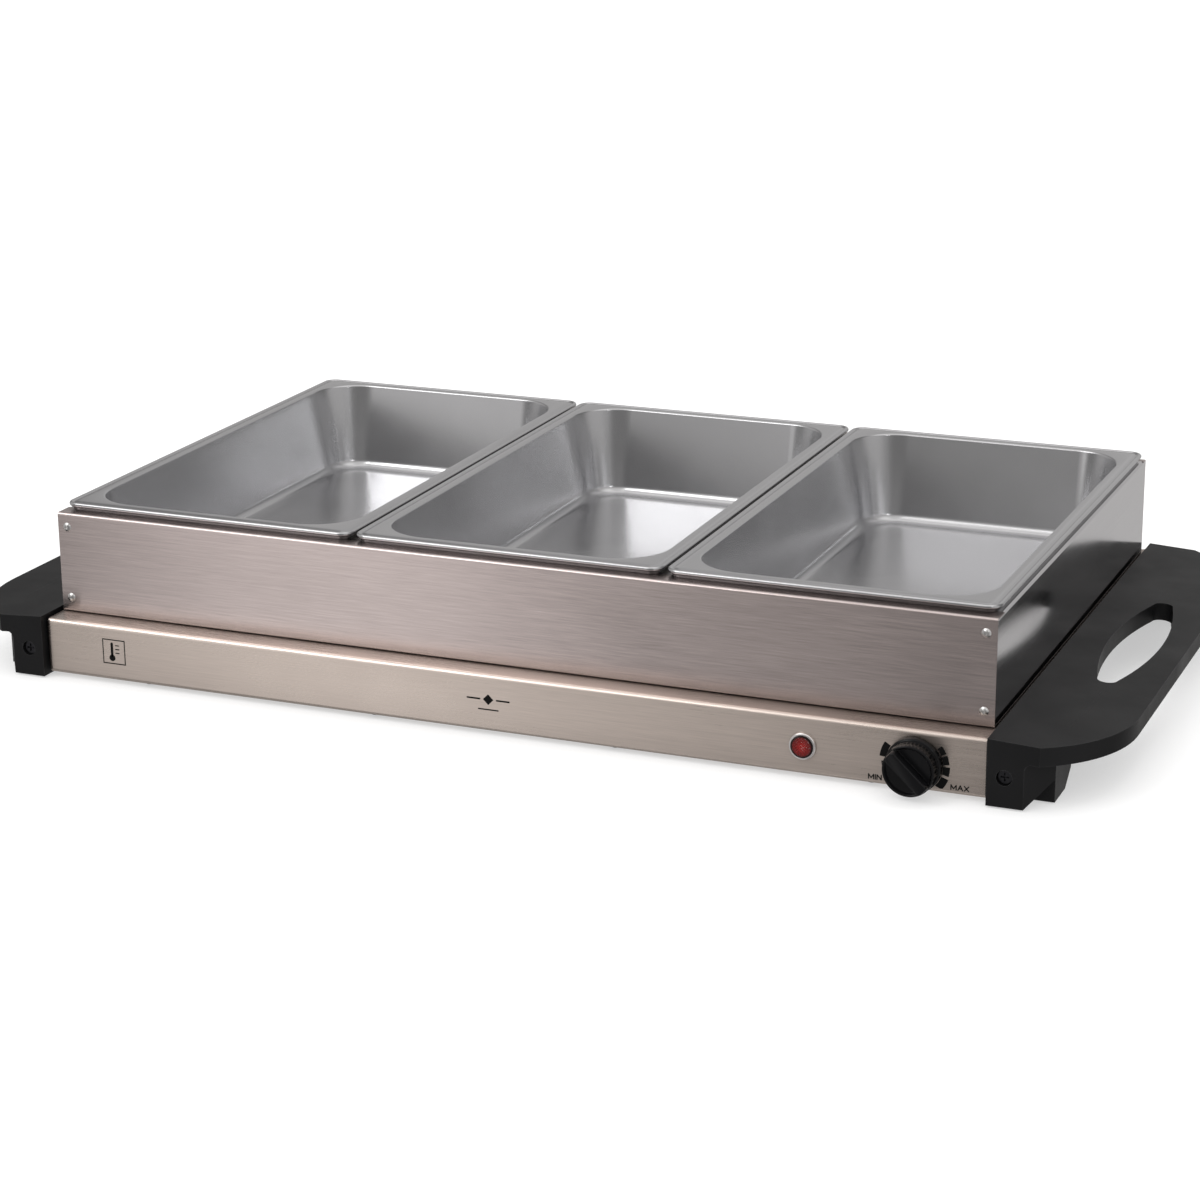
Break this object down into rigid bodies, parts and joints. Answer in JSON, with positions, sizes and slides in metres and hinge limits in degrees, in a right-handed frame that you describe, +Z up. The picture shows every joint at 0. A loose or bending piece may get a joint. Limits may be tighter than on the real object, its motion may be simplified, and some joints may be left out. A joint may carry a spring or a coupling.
{
  "type": "electric buffet server",
  "caption": "Heated steel base with black moulded handles, a thermostat knob and lamp, a lift-off steel frame and lift-out food pans.",
  "frame": {"origin": "on the table, under the middle of the heated base", "axes": "+X along the length towards the knob's end, +Y from the control side to the back, +Z up"},
  "size_m": [0.6658, 0.3874, 0.0959],
  "materials": {
    "base_steel": "fine brushed grain along the length",
    "cover_steel": "galvanised sheet",
    "dark_screw": "blackened steel",
    "spreader_aluminium": "rolled",
    "zinc": "zinc plated",
    "element_sheath": "oxidised steel tube",
    "ceramic": "unglazed steatite",
    "glass_fibre": "needled glass fibre felt",
    "shield_aluminium": "aluminised sheet",
    "brass": "plain",
    "fuse_sleeve": "braided glass sleeve",
    "terminal_plastic": "moulded nylon",
    "lamp_chrome": "polished plating",
    "lamp_red": "faceted red lens",
    "bulb_glass": "clear neon envelope",
    "wire_white": "silicone insulation",
    "wire_brown": "silicone insulation",
    "wire_red": "silicone insulation",
    "wire_blue": "silicone insulation",
    "wire_green": "silicone insulation",
    "gland_plastic": "moulded nylon",
    "handle_plastic": "fine spark-eroded texture",
    "foot_rubber": "moulded",
    "frame_steel": "fine brushed grain along the length",
    "rail_steel": "rolled sheet",
    "rivet_aluminium": "plain",
    "pan_steel": "satin drawn sheet",
    "knob_plastic": "moulded, satin gloss",
    "pointer_mark": "pressed-in mark"
  },
  "bodies": {
    "base": {"base_shell": "base_steel", "bottom_cover": "cover_steel", "cover_screws": "dark_screw", "heat_spreader": "spreader_aluminium", "weld_studs": "zinc", "stud_nuts": "zinc", "heating_element": "element_sheath", "element_terminals": "ceramic", "element_clamps": "zinc", "insulation_pad": "glass_fibre", "heat_shield": "shield_aluminium", "thermostat_bracket": "zinc", "thermostat_body": "ceramic", "thermostat_blade": "brass", "thermostat_nut": "zinc", "thermal_fuse": "fuse_sleeve", "terminal_block": "terminal_plastic", "terminal_screws": "brass", "lamp_bezel": "lamp_chrome", "lamp_lens": "lamp_red", "lamp_bulb": "bulb_glass", "lamp_clip": "zinc", "lamp_leads": "wire_white", "wire_live": "wire_brown", "wire_switched": "wire_red", "wire_neutral": "wire_blue", "wire_earth": "wire_green", "earth_stud": "brass", "earth_nut": "brass", "cord_gland": "gland_plastic", "gland_locknut": "gland_plastic", "left_handle": "handle_plastic", "right_handle": "handle_plastic", "left_brackets": "zinc", "right_brackets": "zinc", "bracket_rivets": "rivet_aluminium", "left_handle_screws": "dark_screw", "right_handle_screws": "dark_screw", "left_feet": "foot_rubber", "right_feet": "foot_rubber"},
    "frame": {"frame_front": "frame_steel", "frame_rear": "frame_steel", "frame_left": "frame_steel", "frame_right": "frame_steel", "left_rail": "rail_steel", "right_rail": "rail_steel", "front_rivets": "rivet_aluminium", "rear_rivets": "rivet_aluminium"},
    "pan_left": {"pan_left": "pan_steel"},
    "pan_middle": {"pan_middle": "pan_steel"},
    "pan_right": {"pan_right": "pan_steel"},
    "knob": {"knob": "knob_plastic", "knob_pointer": "pointer_mark", "knob_spring": "zinc", "thermostat_spindle": "zinc"}
  },
  "joints": [
    {"name": "frame_lift", "type": "slide", "parent": "base", "child": "frame", "axis": [0, 0, 1], "range_m": [0, 0.1]},
    {"name": "pan_left_lift", "type": "slide", "parent": "frame", "child": "pan_left", "axis": [0, 0, 1], "range_m": [0, 0.1]},
    {"name": "pan_middle_lift", "type": "slide", "parent": "frame", "child": "pan_middle", "axis": [0, 0, 1], "range_m": [0, 0.1]},
    {"name": "pan_right_lift", "type": "slide", "parent": "frame", "child": "pan_right", "axis": [0, 0, 1], "range_m": [0, 0.1]},
    {"name": "knob_turn", "type": "hinge", "parent": "base", "child": "knob", "pos_m": [0.234, -0.1767, 0.0162], "axis": [0, 1, 0], "range_deg": [-88, 182]}
  ]
}
